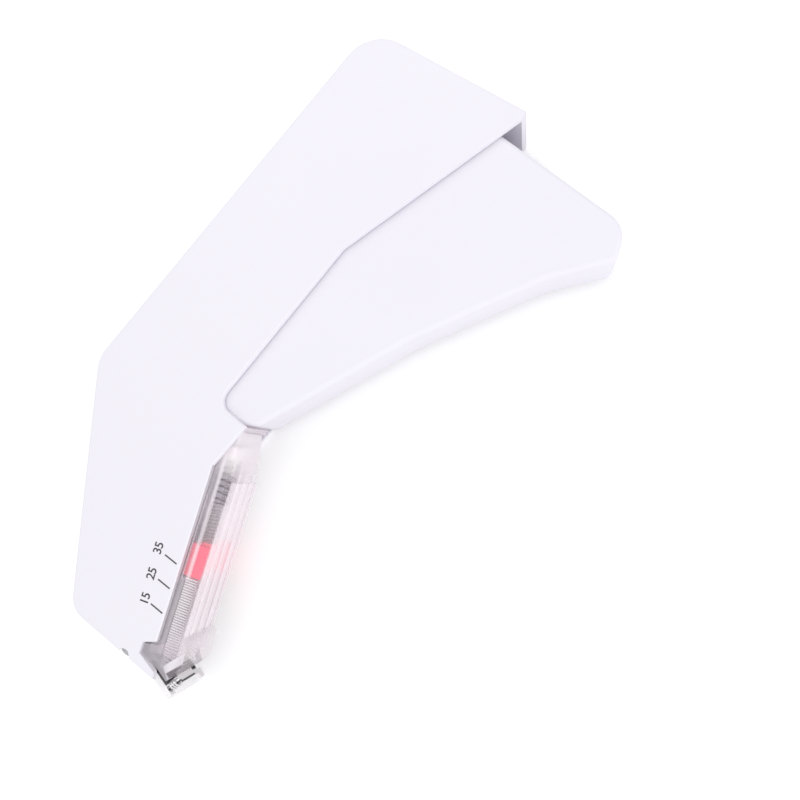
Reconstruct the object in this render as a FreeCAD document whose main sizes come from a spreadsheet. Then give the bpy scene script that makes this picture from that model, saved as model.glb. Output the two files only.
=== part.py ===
# Skin stapler: a two-shell case, a squeeze trigger, a clear staple magazine and a steel nose.
#
# Frame, in millimetres: the stapler lies on its far side. +Y runs up the magazine from the nose,
# +X is the way the staple legs point, +Z goes from the far shell to the near shell. The origin is
# under the middle of the case, on the surface that it lies on.

import FreeCAD, Part
import math
import os
import Sketcher

Vector = FreeCAD.Vector
Z_AXIS = Vector(0, 0, 1)

# Driving sizes, in millimetres and degrees

SIZES = {
    # Case, seen from the side
    "case_thick": 18.0, "plate_thick": 1.5, "wall_thick": 2.0, "edge_round": 0.5,
    "nose_x": -17.6, "nose_y": -77.9,
    "front_x": -42.6, "front_y": -69.8, "front_round": 6.0,
    "knee_x": -56.2, "knee_y": -11.2, "knee_round": 9.0,
    "back_x": -14.2, "back_y": 83.0, "back_round": 9.5,
    "end_x": 27.5, "end_y": 70.1, "wall_end_x": -20.5,
    "mouth_x": -4.6, "mouth_y": 29.5, "mouth_round": 5.0,
    "heel_x": -23.0, "heel_y": -13.2, "heel_round": 3.4,
    "lobe_x": -14.5, "lobe_y": -16.7,
    "side_x": -19.4, "side_y": -27.4, "side_low_x": -19.5, "side_low_y": -69.6,
    "notch_x": -22.7, "notch_high": -70.7, "notch_low": -73.3,
    "catch_x": -26.5, "catch_y": -75.3, "catch_radius": 1.6, "catch_depth": 4.0,
    # Trigger and its lever
    "pivot_x": -26.0, "pivot_y": -11.0, "pin_radius": 1.5, "boss_radius": 3.6,
    "trigger_thick": 14.4, "trigger_wall": 2.6, "trigger_round": 1.2,
    "tip_x": 55.8, "tip_high": 50.2, "tip_low": 41.9, "tip_round": 6.5, "grip_round": 2.4,
    "brow_x": 16.0, "brow_y": 67.6, "waist_x": 42.0, "waist_y": 34.3,
    "under_x": 16.0, "under_y": 12.8, "root_x": -12.4, "root_y": -16.0,
    "arm_length": 28.0, "arm_angle": 234.0, "drive_radius": 1.0, "roller_radius": 2.0,
    "lever_pin_radius": 1.25,
    # Ram, which slides down the slope of the nose
    "ram_slope": 33.0, "ram_x": -18.3, "ram_y": -75.2, "stroke": 4.9,
    "blade_thick": 0.5, "blade_width": 12.6, "blade_notch": 7.6, "carrier_thick": 3.6,
    "slide_radius": 1.25, "running_gap": 0.05, "boss_gap": 4.7,
    "slide_low_along": -20.0, "slide_low_above": 6.5,
    "slide_high_along": -31.0, "slide_high_above": 12.6,
    "rib_left": -28.4, "rib_right": -26.6, "rib_low": 20.6, "rib_high": 26.4,
    # Staples and magazine
    "wire": 0.55, "pitch": 0.6, "crown": 12.8, "leg": 3.15, "staples": 35,
    "fan": 7, "bend_radius": 0.5,
    "magazine_thick": 14.6, "magazine_wall": 0.7, "magazine_x": -14.2, "magazine_back": -21.4,
    "magazine_high": -18.2, "magazine_low": -72.6,
    "rail_thick": 11.0, "rail_x": -17.9, "rail_wall": 0.6,
    "follower_high": -46.3, "follower_low": -53.9, "spring_radius": 1.9, "spring_wire": 0.45,
    "spring_end": -25.6, "spring_turns": 13,
    "return_radius": 2.1, "return_wire": 0.6, "return_turns": 6,
    # Nose
    "cheek": 1.45, "tongue_left": 3.7, "tongue_right": 6.2, "tongue_wide": 7.0,
    "anvil_low": -1.2, "anvil_high": -0.5,
    "ejector_along": 5.8, "ejector_inset": 2.4, "ejector_radius": 1.0, "ejector_wire": 0.4,
    "ejector_rise": 2.4, "ejector_turns": 3.5,
}

doc = FreeCAD.newDocument("SkinStapler")
sheet = doc.addObject("Spreadsheet::Sheet", "Sizes")
for row, (alias, value) in enumerate(SIZES.items(), start=1):
    sheet.set(f"A{row}", alias)
    sheet.set(f"B{row}", str(value))
    sheet.setAlias(f"B{row}", alias)
doc.recompute()


class Size:
    """A number together with the sheet expression that gives it."""

    def __init__(self, value, text):
        self.value = value
        self.text = text

    def _with(self, other, sign, value):
        return Size(value, f"({self.text} {sign} {size(other).text})")

    def __add__(self, other):
        return self._with(other, "+", self.value + size(other).value)

    def __sub__(self, other):
        return self._with(other, "-", self.value - size(other).value)

    def __mul__(self, other):
        return self._with(other, "*", self.value * size(other).value)

    def __truediv__(self, other):
        return self._with(other, "/", self.value / size(other).value)

    def __neg__(self):
        return Size(-self.value, f"(0 - {self.text})")

    __radd__ = __add__
    __rmul__ = __mul__


def size(item):
    """A Size from a Size, from an alias of the sheet or from a plain number."""
    if isinstance(item, Size):
        return item
    if isinstance(item, str):
        return Size(SIZES[item], f"Sizes.{item}")
    return Size(float(item), f"({item})")


def cosine(angle):
    angle = size(angle)
    return Size(math.cos(math.radians(angle.value)), f"cos({angle.text} * 1 deg)")


def sine(angle):
    angle = size(angle)
    return Size(math.sin(math.radians(angle.value)), f"sin({angle.text} * 1 deg)")


def bind(target, path, item):
    target.setExpression(path, size(item).text)


half_case = size("case_thick") / 2
plate_inside = size("case_thick") - "plate_thick"
U_X = cosine("ram_slope")
U_Y = -sine("ram_slope")


def on_ram(along, above):
    """Side-view point at a distance along the ram's path and above its plane."""
    along, above = size(along), size(above)
    return (size("ram_x") + along * U_X - above * U_Y, size("ram_y") + along * U_Y + above * U_X)


drive_x = size("pivot_x") + size("arm_length") * cosine("arm_angle")
drive_y = size("pivot_y") + size("arm_length") * sine("arm_angle")


# Sketches and features

def new_body(label, sloped=False):
    """An empty body; a sloped one has its X along the ram's path and its Y across it."""
    body = doc.addObject("PartDesign::Body", "".join(w.title() for w in label.split("_")))
    body.Label = label
    if sloped:
        bind(body, "Placement.Base.x", "ram_x")
        bind(body, "Placement.Base.y", "ram_y")
        bind(body, "Placement.Rotation.Angle", -size("ram_slope"))
    return body


def new_sketch(body, height):
    sketch = body.newObject("Sketcher::SketchObject", "Sketch")
    plane = [item for item in body.Origin.OriginFeatures if item.Role == "XY_Plane"]
    sketch.AttachmentSupport = [(plane[0], "")]
    sketch.MapMode = "FlatFace"
    bind(sketch, "AttachmentOffset.Base.z", height)
    return sketch


def outline(body, corners, height):
    """A closed sketch of straight runs; each corner is held at its place from the sheet."""
    sketch = new_sketch(body, height)
    places = [(size(x), size(y)) for x, y in corners]
    spots = [Vector(x.value, y.value, 0) for x, y in places]
    count = len(spots)
    for index in range(count):
        sketch.addGeometry(Part.LineSegment(spots[index], spots[(index + 1) % count]), False)
    for index in range(count):
        sketch.addConstraint(Sketcher.Constraint("Coincident", index, 2, (index + 1) % count, 1))
    for index, (x, y) in enumerate(places):
        for kind, item in (("DistanceX", x), ("DistanceY", y)):
            rule = Sketcher.Constraint(kind, -1, 1, index, 1, item.value)
            bind(sketch, f"Constraints[{sketch.addConstraint(rule)}]", item)
    return sketch


def circles(body, centres, radius, height):
    """A sketch of equal circles."""
    sketch = new_sketch(body, height)
    radius = size(radius)
    for index, (x, y) in enumerate(centres):
        x, y = size(x), size(y)
        ring = Part.Circle(Vector(x.value, y.value, 0), Z_AXIS, radius.value)
        sketch.addGeometry(ring, False)
        rules = (
            (Sketcher.Constraint("DistanceX", -1, 1, index, 3, x.value), x),
            (Sketcher.Constraint("DistanceY", -1, 1, index, 3, y.value), y),
            (Sketcher.Constraint("Radius", index, radius.value), radius),
        )
        for rule, item in rules:
            bind(sketch, f"Constraints[{sketch.addConstraint(rule)}]", item)
    return sketch


def slot_corners(start, end, radius):
    """The four corners of a straight slot that runs along X."""
    radius = size(radius)
    low, high = size(start[1]) - radius, size(start[1]) + radius
    left, right = size(start[0]) - radius, size(end[0]) + radius
    return [(left, low), (right, low), (right, high), (left, high)]


def pad(body, sketch, length):
    feature = body.newObject("PartDesign::Pad", "Pad")
    feature.Profile = sketch
    bind(feature, "Length", length)
    doc.recompute()
    return feature


def pocket(body, sketch, length):
    """A cut that runs up from the sketch; it has to take material away."""
    before = body.Shape.Volume
    feature = body.newObject("PartDesign::Pocket", "Pocket")
    feature.Profile = sketch
    feature.Reversed = True
    bind(feature, "Length", length)
    doc.recompute()
    if not body.Shape.Volume < before - 1e-6:
        raise RuntimeError(f"{body.Label}: a pocket cuts nothing")
    return feature


def round_corners(body, corners, radius):
    """Rounds the upright edges that stand at the given corners."""
    base = body.Tip
    spots = [(size(x).value, size(y).value) for x, y in corners]
    names = []
    for index, edge in enumerate(base.Shape.Edges, start=1):
        start, end = edge.Vertexes[0].Point, edge.Vertexes[-1].Point
        upright = abs(start.x - end.x) < 1e-4 and abs(start.y - end.y) < 1e-4
        if not upright or abs(start.z - end.z) < 0.1:
            continue
        near = [math.hypot(start.x - x, start.y - y) < 0.02 for x, y in spots]
        if any(near):
            names.append(f"Edge{index}")
    return round_edges(body, names, radius)


def round_edges(body, names, radius):
    base = body.Tip
    feature = body.newObject("PartDesign::Fillet", "Fillet")
    feature.Base = (base, names)
    bind(feature, "Radius", radius)
    doc.recompute()
    if "Invalid" in feature.State:
        raise RuntimeError(f"{body.Label}: a fillet did not build")
    return feature


def rim_edges(body, height, keep=lambda edge: True):
    """Names of the edges that lie flat at one height."""
    names = []
    for index, edge in enumerate(body.Tip.Shape.Edges, start=1):
        box = edge.BoundBox
        level = size(height).value
        if abs(box.ZMin - level) < 1e-3 and abs(box.ZMax - level) < 1e-3 and keep(edge):
            names.append(f"Edge{index}")
    return names


def long_run(edge):
    """True for the case's long edges, away from the nose and the catch."""
    box = edge.BoundBox
    at_nose = box.YMax < SIZES["side_low_y"] + 0.5 and box.XMin > SIZES["notch_x"] - 1
    small_ring = isinstance(edge.Curve, Part.Circle) and edge.Curve.Radius < 2
    return edge.Length > 2.2 and not at_nose and not small_ring


def solid_feature(label, shape):
    """A piece whose shape is worked out from the sheet's values in this file."""
    feature = doc.addObject("Part::Feature", "".join(w.title() for w in label.split("_")))
    feature.Label = label
    feature.Shape = shape
    return feature


# Case: two moulded shells that meet on the middle plane, open on the trigger's side

case_outline = [
    ("nose_x", "nose_y"),
    (size("nose_x") - 0.3, size("nose_y") + 1.7),
    ("notch_x", "notch_low"),
    ("notch_x", "notch_high"),
    ("side_low_x", "side_low_y"),
    ("side_x", "side_y"),
    ("lobe_x", "lobe_y"),
    ("heel_x", "heel_y"),
    ("mouth_x", "mouth_y"),
    (size("end_x") - 0.6, size("end_y") - 2.0),
    ("end_x", "end_y"),
    ("back_x", "back_y"),
    ("knee_x", "knee_y"),
    ("front_x", "front_y"),
]
wall = size("wall_thick")
cavity_outline = [
    (size("wall_end_x"), size("nose_y") - 6),
    (size("wall_end_x"), size("nose_y") + 0.94 + wall * 1.05),
    (size("front_x") + wall * 0.844, size("front_y") + wall * 0.777),
    (size("knee_x") + wall * 1.051, size("knee_y") - wall * 0.101),
    (size("back_x") + wall * 0.552, size("back_y") - wall * 1.212),
    (size("end_x") + 8, size("end_y") - 8 * 0.3096 - wall * 1.045),
    (size("end_x") + 8, size("nose_y") - 6),
]
slide_spots = [("slide_low_along", "slide_low_above"), ("slide_high_along", "slide_high_above")]
slide_places = [on_ram(*spot) for spot in slide_spots]
rib_outline = [on_ram("rib_left", "rib_low"), on_ram("rib_right", "rib_low"),
               on_ram("rib_right", "rib_high"), on_ram("rib_left", "rib_high")]


def rounded_case(body):
    round_corners(body, [("back_x", "back_y")], "back_round")
    round_corners(body, [("knee_x", "knee_y")], "knee_round")
    round_corners(body, [("front_x", "front_y")], "front_round")
    round_corners(body, [("heel_x", "heel_y")], "heel_round")
    round_corners(body, [("mouth_x", "mouth_y")], "mouth_round")


def pin_sockets(body, low, high, bottom, top):
    """Bosses for the pivot pin and the two slide pins, from low to high, bored bottom to top."""
    pivot = [("pivot_x", "pivot_y")]
    pad(body, circles(body, pivot, "boss_radius", low), high - low)
    pad(body, circles(body, slide_places, size("slide_radius") + 1.2, low), high - low)
    pocket(body, circles(body, pivot, "pin_radius", bottom), top - bottom)
    pocket(body, circles(body, slide_places, "slide_radius", bottom), top - bottom)


def near_shell():
    body = new_body("near_shell")
    pad(body, outline(body, case_outline, half_case), half_case)
    rounded_case(body)
    pocket(body, outline(body, cavity_outline, half_case), plate_inside - half_case)
    catch_low = size("case_thick") - "catch_depth"
    pocket(body, circles(body, [("catch_x", "catch_y")], "catch_radius", catch_low), "catch_depth")
    pad(body, outline(body, rib_outline, half_case), plate_inside - half_case)
    boss_low = half_case + "boss_gap"
    pin_sockets(body, boss_low, plate_inside, boss_low, plate_inside)
    round_edges(body, rim_edges(body, "case_thick", long_run), "edge_round")


def far_shell():
    body = new_body("far_shell")
    pad(body, outline(body, case_outline, 0), half_case)
    rounded_case(body)
    pocket(body, outline(body, cavity_outline, "plate_thick"), half_case - "plate_thick")
    pad(body, outline(body, rib_outline, "plate_thick"), half_case - "plate_thick")
    boss_high = half_case - "boss_gap"
    pin_sockets(body, size("plate_thick"), boss_high, size("plate_thick"), boss_high)
    round_edges(body, rim_edges(body, 0, long_run), "edge_round")


# Trigger: one hollow moulding, open inside the case, with a drive lever keyed into it

trigger_outline = [
    ("brow_x", "brow_y"),
    (size("pivot_x") - 5.4, size("pivot_y") + 4),
    (size("pivot_x") - 6.2, size("pivot_y") - 3),
    (size("pivot_x") - 1.5, size("pivot_y") - 6.6),
    ("root_x", "root_y"),
    ("under_x", "under_y"),
    ("waist_x", "waist_y"),
    ("tip_x", "tip_low"),
    ("tip_x", "tip_high"),
]
trigger_low = half_case - size("trigger_thick") / 2
core_thick = size("trigger_thick") - size("trigger_wall") * 2
core_low = half_case - core_thick / 2
core_outline = [
    (size("brow_x") + 0.6, size("brow_y") - 3.3),
    (size("brow_x") - 14, size("brow_y") + 2),
    (size("pivot_x") - 18, size("pivot_y") + 4),
    (size("pivot_x") - 12, size("pivot_y") - 12),
    (size("root_x") - 4.6, size("root_y") - 5),
    (size("root_x") - 1.6, size("root_y") + 2.0),
    (size("under_x") - 2, size("under_y") + 2.4),
    (size("waist_x") - 1, size("waist_y") + 3),
    (size("tip_x") - 3.4, size("tip_low") + 1.8),
    (size("tip_x") - 3.4, size("tip_high") - 4.6),
    (size("tip_x") - 8.5, size("tip_high") - 0.6),
]
lever_pin_places = [(size("pivot_x") + 9, size("pivot_y") + 8.5),
                    (size("pivot_x") + 19, size("pivot_y") + 23)]


def trigger():
    body = new_body("trigger")
    pad(body, outline(body, trigger_outline, trigger_low), "trigger_thick")
    round_corners(body, [("tip_x", "tip_high")], "tip_round")
    round_corners(body, [("tip_x", "tip_low")], "grip_round")
    round_corners(body, [("waist_x", "waist_y"), ("under_x", "under_y")], 24)
    round_corners(body, [("root_x", "root_y")], 3.5)
    pocket(body, outline(body, core_outline, core_low), core_thick)
    recess = size("boss_radius") + 0.3
    pocket(body, circles(body, [("pivot_x", "pivot_y")], recess, trigger_low), "trigger_thick")
    blind = size("trigger_wall") - 0.8
    pocket(body, circles(body, lever_pin_places, "lever_pin_radius", core_low - blind),
           core_thick + blind * 2)
    for level in (trigger_low, trigger_low + "trigger_thick"):
        outer = rim_edges(body, level, lambda edge: edge.BoundBox.XMax > size("pivot_x").value + 5)
        round_edges(body, outer, "trigger_round")
    return body


def drive_lever():
    body = new_body("drive_lever")
    tail_x, tail_y = lever_pin_places[1]
    sides = [
        (drive_x - 2.2, drive_y - 2.4), (drive_x + 2.6, drive_y - 2.0),
        (size("pivot_x") + 3.4, size("pivot_y") - 3.4), (size("pivot_x") + 13, size("pivot_y") + 6),
        (tail_x + 3.6, tail_y + 1.6), (tail_x - 1.5, tail_y + 3.6),
        (size("pivot_x") - 3.6, size("pivot_y") + 2.6), (drive_x - 2.8, drive_y + 1.6),
    ]
    pad(body, outline(body, sides, core_low), core_thick)
    fork = [
        (drive_x - 8, drive_y - 6), (drive_x + 8, drive_y - 6),
        (drive_x + 11.5, drive_y + 9), (drive_x - 3, drive_y + 12),
    ]
    fork_gap = size("carrier_thick") + 0.4
    pocket(body, outline(body, fork, half_case - fork_gap / 2), fork_gap)
    bore = size("pin_radius") + "running_gap"
    pocket(body, circles(body, [("pivot_x", "pivot_y")], bore, core_low), core_thick)
    pocket(body, circles(body, [(drive_x, drive_y)], "drive_radius", core_low), core_thick)
    pocket(body, circles(body, lever_pin_places, "lever_pin_radius", core_low), core_thick)
    return body


def pins(label, places, radius, low, length):
    """Plain round pins that stand along Z; several places make separate solids in one node."""
    shapes = []
    for x, y in places:
        base = Vector(size(x).value, size(y).value, size(low).value)
        shapes.append(Part.makeCylinder(size(radius).value, size(length).value, base, Z_AXIS))
    return solid_feature(label, shapes[0] if len(shapes) == 1 else Part.makeCompound(shapes))


def pivot_pin():
    low = size("plate_thick")
    return pins("pivot_pin", [("pivot_x", "pivot_y")], "pin_radius", low, plate_inside - low)


def slide_pins():
    low = size("plate_thick")
    return pins("slide_pins", slide_places, "slide_radius", low, plate_inside - low)


def lever_pins():
    blind = size("trigger_wall") - 0.8
    return pins("lever_pins", lever_pin_places, "lever_pin_radius", core_low - blind,
                core_thick + blind * 2)


def drive_pin():
    return pins("drive_pin", [(drive_x, drive_y)], "drive_radius", core_low, core_thick)


def drive_roller():
    body = new_body("drive_roller")
    length = size("carrier_thick") - 0.2
    low = half_case - length / 2
    pad(body, circles(body, [(drive_x, drive_y)], "roller_radius", low), length)
    pocket(body, circles(body, [(drive_x, drive_y)], "drive_radius", low), length)
    return body


# Ram: a carrier on two slide pins, with the steel forming blade riveted under it

drive_along = (drive_x - "ram_x") * U_X + (drive_y - "ram_y") * U_Y
drive_above = (drive_y - "ram_y") * U_X - (drive_x - "ram_x") * U_Y
blade_top = size("blade_thick") / 2
rivet_places = [(-15.5, 5.0), (-15.5, 13.0)]


def ram_carrier():
    body = new_body("ram_carrier", sloped=True)
    low = half_case - size("carrier_thick") / 2
    reach = size("roller_radius") + "running_gap"
    sides = [
        (-10.5, blade_top), (-24, blade_top), (drive_along - 1.4, drive_above - 5.0),
        (drive_along - 3.6, drive_above - 2.6), (drive_along - 3.6, drive_above + 4.3),
        (drive_along - reach, drive_above + 4.3), (drive_along - reach, drive_above - 2.7),
        (drive_along + reach, drive_above - 2.7), (drive_along + reach, drive_above + 4.3),
        (drive_along + 3.6, drive_above + 4.3), (drive_along + 3.6, drive_above - 1.4),
        (-30, 16.6), (-11.5, 4.6),
    ]
    pad(body, outline(body, sides, low), "carrier_thick")
    foot = [(-10.5, blade_top), (-18.5, blade_top), (-18.5, 3.0), (-11.0, 3.0)]
    foot_low = half_case - size("blade_width") / 2 + 0.5
    pad(body, outline(body, foot, foot_low), size("blade_width") - 1.0)
    play = size("slide_radius") + "running_gap"
    for along, above in slide_spots:
        run = slot_corners((size(along) - "stroke", above), (along, above), play)
        pocket(body, outline(body, run, low), "carrier_thick")
        round_corners(body, run, play * 0.98)
    return body


def ram_blade():
    body = new_body("ram_blade", sloped=True)
    low = half_case - size("blade_width") / 2
    edge = -size("wire") / 2 - 0.1
    sides = [(edge, -blade_top), (edge, blade_top), (-18.5, blade_top), (-18.5, -blade_top)]
    pad(body, outline(body, sides, low), "blade_width")
    mouth = [(edge - 2.6, -1), (1, -1), (1, 1), (edge - 2.6, 1)]
    pocket(body, outline(body, mouth, half_case - size("blade_notch") / 2), "blade_notch")
    return body


def ram_rivets():
    """Two flat-headed rivets through the blade and the carrier's foot."""
    place = FreeCAD.Placement(Vector(SIZES["ram_x"], SIZES["ram_y"], 0),
                              FreeCAD.Rotation(Z_AXIS, -SIZES["ram_slope"]))
    shapes = []
    for along, height in rivet_places:
        foot = Vector(along, -blade_top.value - 0.5, height)
        head = Part.makeCylinder(1.3, 0.5, foot, Vector(0, 1, 0))
        shapes.append(head.transformGeometry(place.toMatrix()))
    return solid_feature("ram_rivets", Part.makeCompound(shapes))


# Staples: wire bent to a wide U, crown towards the case, legs towards +X

def staple_shape():
    """One open staple with its crown on Z at the origin and its legs along +X."""
    wire, half = SIZES["wire"], SIZES["crown"] / 2
    leg, bend = SIZES["leg"], SIZES["bend_radius"]
    low = -wire / 2

    def loop(reach, radius, edge):
        sweep = radius * (1 - math.sqrt(0.5))
        runs = [
            Part.LineSegment(Vector(leg, low, -reach), Vector(edge + radius, low, -reach)),
            Part.Arc(Vector(edge + radius, low, -reach), Vector(edge + sweep, low, -reach + sweep),
                     Vector(edge, low, -reach + radius)),
            Part.LineSegment(Vector(edge, low, -reach + radius), Vector(edge, low, reach - radius)),
            Part.Arc(Vector(edge, low, reach - radius), Vector(edge + sweep, low, reach - sweep),
                     Vector(edge + radius, low, reach)),
            Part.LineSegment(Vector(edge + radius, low, reach), Vector(leg, low, reach)),
        ]
        return [run.toShape() for run in runs]

    outer = loop(half, bend, -wire / 2)
    inner = loop(half - wire, bend - wire / 2, wire / 2)
    ends = [Part.makeLine(Vector(leg, low, side * half), Vector(leg, low, side * (half - wire)))
            for side in (-1, 1)]
    face = Part.Face(Part.Wire(Part.__sortEdges__(outer + inner + ends)))
    return face.extrude(Vector(0, wire, 0))


def staple_places():
    """Crown place and lean of each staple, from the one in front of the ram upwards."""
    fan, pitch = int(SIZES["fan"]), SIZES["pitch"]
    places, rise = [], 0.0
    for index in range(int(SIZES["staples"])):
        lean = SIZES["ram_slope"] * max(0.0, 1 - index / fan)
        if index:
            rise += pitch / math.cos(math.radians((lean + last_lean) / 2))
        last_lean = lean
        places.append((rise, lean))
    return places


def placed_staple(rise, lean):
    shape = staple_shape()
    shape.Placement = FreeCAD.Placement(
        Vector(SIZES["ram_x"], SIZES["ram_y"] + rise, SIZES["case_thick"] / 2),
        FreeCAD.Rotation(Z_AXIS, -lean))
    return shape


def front_staple():
    return solid_feature("front_staple", placed_staple(*staple_places()[0]))


def staple_stack():
    shapes = [placed_staple(*place) for place in staple_places()[1:]]
    return solid_feature("staple_stack", Part.makeCompound(shapes))


# Magazine: a clear channel with its rail, red follower and spring

magazine_low = half_case - size("magazine_thick") / 2


def box_corners(left, right, low, high):
    return [(left, low), (right, low), (right, high), (left, high)]


def magazine_body():
    body = new_body("magazine_body")
    sides = [
        ("magazine_back", "magazine_low"), ("magazine_x", "magazine_low"),
        ("magazine_x", size("magazine_high") - 11), (size("magazine_x") - 2, "magazine_high"),
        ("magazine_back", "magazine_high"),
    ]
    pad(body, outline(body, sides, magazine_low), "magazine_thick")
    wall_now = size("magazine_wall")
    inside = box_corners(size("magazine_back") - 1, size("magazine_x") - wall_now,
                         size("magazine_low") - 1, size("magazine_high") - 4)
    inside[2] = (size("magazine_x") - wall_now - 1.3, size("magazine_high") - 4)
    inside.insert(2, (size("magazine_x") - wall_now, size("magazine_high") - 11.6))
    pocket(body, outline(body, inside, magazine_low + wall_now),
           size("magazine_thick") - wall_now * 2)
    rib = box_corners(size("magazine_back") + 2.5, size("magazine_back") + 3.3,
                      size("follower_low") - 0.7, size("magazine_high") - 16)
    for low in (magazine_low - 0.5, magazine_low + "magazine_thick" - 0.1):
        pad(body, outline(body, rib, low), 0.6)
    return body


def magazine_cover():
    """The ribbed front strip that closes the magazine."""
    body = new_body("magazine_cover")
    face = size("magazine_x")
    strip = box_corners(face, face + 0.5, size("magazine_low") + 5.8, size("magazine_high") - 12)
    pad(body, outline(body, strip, magazine_low), "magazine_thick")
    ridge = box_corners(face + 0.4, face + 0.9, size("magazine_low") + 5.8,
                        size("magazine_high") - 12)
    for share in (0.12, 0.36, 0.64, 0.88):
        low = magazine_low + size("magazine_thick") * share - 0.5
        pad(body, outline(body, ridge, low), 1.0)
    return body


def staple_rail():
    """Bent sheet channel that the staples straddle; the spring runs inside it."""
    body = new_body("staple_rail")
    right = size("magazine_x") - "magazine_wall"
    low = half_case - size("rail_thick") / 2
    rail_high = size("magazine_high") - 18
    sides = [
        ("rail_x", size("ram_y") + 2.4), (right, size("ram_y") + 0.2),
        (right, rail_high), ("rail_x", rail_high),
    ]
    pad(body, outline(body, sides, low), "rail_thick")
    hollow = box_corners(size("rail_x") - 1, right - "rail_wall", size("ram_y") - 1,
                         rail_high + 1)
    pocket(body, outline(body, hollow, low + "rail_wall"),
           size("rail_thick") - size("rail_wall") * 2)
    return body


def follower():
    """Red block that rides over the rail behind the staples, with a tongue for the spring."""
    body = new_body("follower")
    half = size("crown") / 2
    back = size("ram_x") - 1.3
    outer = box_corners(back, size("ram_x") + "leg", "follower_low", "follower_high")
    pad(body, outline(body, outer, half_case - half), half * 2)
    over = size("rail_thick") + 0.2
    channel = box_corners(size("rail_x") - 0.1, size("ram_x") + 5,
                          size("follower_low") - 1, size("follower_high") + 1)
    pocket(body, outline(body, channel, half_case - over / 2), over)
    tongue = box_corners(size("rail_x") - 0.6, size("rail_x") + 1.6, "follower_low",
                         "follower_high")
    pad(body, outline(body, tongue, half_case - 2.2), 4.4)
    return body


def coil(radius, wire, turns, length, start, direction):
    """Open coil spring: a round wire swept along a helix."""
    helix = Part.makeLongHelix(length / turns, length, radius)
    profile = Part.Wire(Part.Circle(Vector(radius, 0, 0), Vector(0, 1, 0), wire / 2).toShape())
    shape = Part.Wire(helix).makePipeShell([profile], True, True)
    shape.Placement = FreeCAD.Placement(start, FreeCAD.Rotation(Z_AXIS, direction))
    return shape


def follower_spring():
    wire = SIZES["spring_wire"]
    start = Vector(SIZES["ram_x"] - 0.2, SIZES["follower_high"] + wire / 2, SIZES["case_thick"] / 2)
    length = SIZES["spring_end"] - SIZES["follower_high"] - wire
    shape = coil(SIZES["spring_radius"], wire, SIZES["spring_turns"], length, start,
                 Vector(0, 1, 0))
    return solid_feature("follower_spring", shape)


def spring_stop():
    """End plug that the follower's spring pushes against."""
    body = new_body("spring_stop")
    top = size("magazine_high") - 4
    end = size("spring_end")
    block = box_corners(size("magazine_back") + 0.4, size("magazine_x") - 3.4, end, top)
    pad(body, outline(body, block, half_case - 4), 8)
    peg = box_corners(size("ram_x") - 1.1, size("ram_x") + 0.7, end - 4, end + 1)
    pad(body, outline(body, peg, half_case - 0.9), 1.8)
    return body


def return_spring():
    wire = SIZES["return_wire"]
    left = drive_along.value + 3.6
    along = Vector(U_X.value, U_Y.value, 0)
    x, y = on_ram(left + wire / 2, drive_above + 1.8)
    start = Vector(x.value, y.value, SIZES["case_thick"] / 2)
    length = SIZES["rib_left"] - left - wire
    shape = coil(SIZES["return_radius"], wire, SIZES["return_turns"], length, start, along)
    return solid_feature("return_spring", shape)


# Nose: clear side wings and shelf, a clear lip, and the steel anvil between them

def nose_guide():
    body = new_body("nose_guide")
    cheek = size("cheek")
    sides = [
        (size("notch_x") + 0.3, size("notch_high") - 0.25),
        (size("notch_x") + 0.3, size("notch_low") + 0.1),
        on_ram(1.0, 0.5), on_ram(4.3, 0.5),
        (size("nose_x") + 5.0, size("nose_y") + 3.9),
        (size("nose_x") + 4.6, size("nose_y") + 9.6),
        (size("side_low_x") + 4.0, size("side_low_y") + 2.6),
        (size("side_low_x") + 2.1, size("side_low_y") - 0.25),
    ]
    pad(body, outline(body, sides, 0.1), size("case_thick") - 0.2)
    inside = box_corners(size("notch_x") - 1, size("nose_x") + 3.4, size("nose_y") - 1,
                         size("side_low_y") + 6)
    pocket(body, outline(body, inside, cheek), size("case_thick") - cheek * 2)
    shelf = [on_ram(3.15, 0.5), on_ram(4.3, 0.5), on_ram(4.3, 2.8), on_ram(3.15, 2.2)]
    pad(body, outline(body, shelf, cheek - 0.2), size("case_thick") - cheek * 2 + 0.4)
    return body


def nose_lip():
    body = new_body("nose_lip", sloped=True)
    sides = [(-0.6, -2.4), (7.2, -2.4), (7.8, -1.9), (7.4, -1.2), (-0.6, -1.2)]
    pad(body, outline(body, sides, "plate_thick"), plate_inside - "plate_thick")
    return body


def anvil():
    """Steel plate under the ram with the raised tongue that the staple is bent round."""
    body = new_body("anvil", sloped=True)
    base = box_corners(-1.6, "tongue_right", "anvil_low", "anvil_high")
    pad(body, outline(body, base, size("plate_thick") + 0.5), size("case_thick") - 4)
    tongue = box_corners("tongue_left", "tongue_right", size("anvil_high") - 0.1, 0.35)
    pad(body, outline(body, tongue, half_case - size("tongue_wide") / 2), "tongue_wide")
    post = box_corners(size("ejector_along") - 0.4, size("ejector_along") + 0.4, "anvil_low",
                       size("anvil_high") + "ejector_rise" + 0.4)
    pad(body, outline(body, post, size("case_thick") - "ejector_inset" - 0.4), 0.8)
    ear = box_corners(5.2, 7.5, "anvil_low", "anvil_high")
    for low in (size(0.6), size("case_thick") - 2.5):
        pad(body, outline(body, ear, low), 1.9)
    return body


def ejector_spring():
    """Small wire coil on the anvil's post, which kicks the closed staple off."""
    wire = SIZES["ejector_wire"]
    x, y = on_ram("ejector_along", size("anvil_high") + wire / 2 + 0.02)
    start = Vector(x.value, y.value, SIZES["case_thick"] - SIZES["ejector_inset"])
    shape = coil(SIZES["ejector_radius"], wire, SIZES["ejector_turns"],
                 SIZES["ejector_rise"] - wire, start, Vector(-U_Y.value, U_X.value, 0))
    return solid_feature("ejector_spring", shape)


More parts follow.
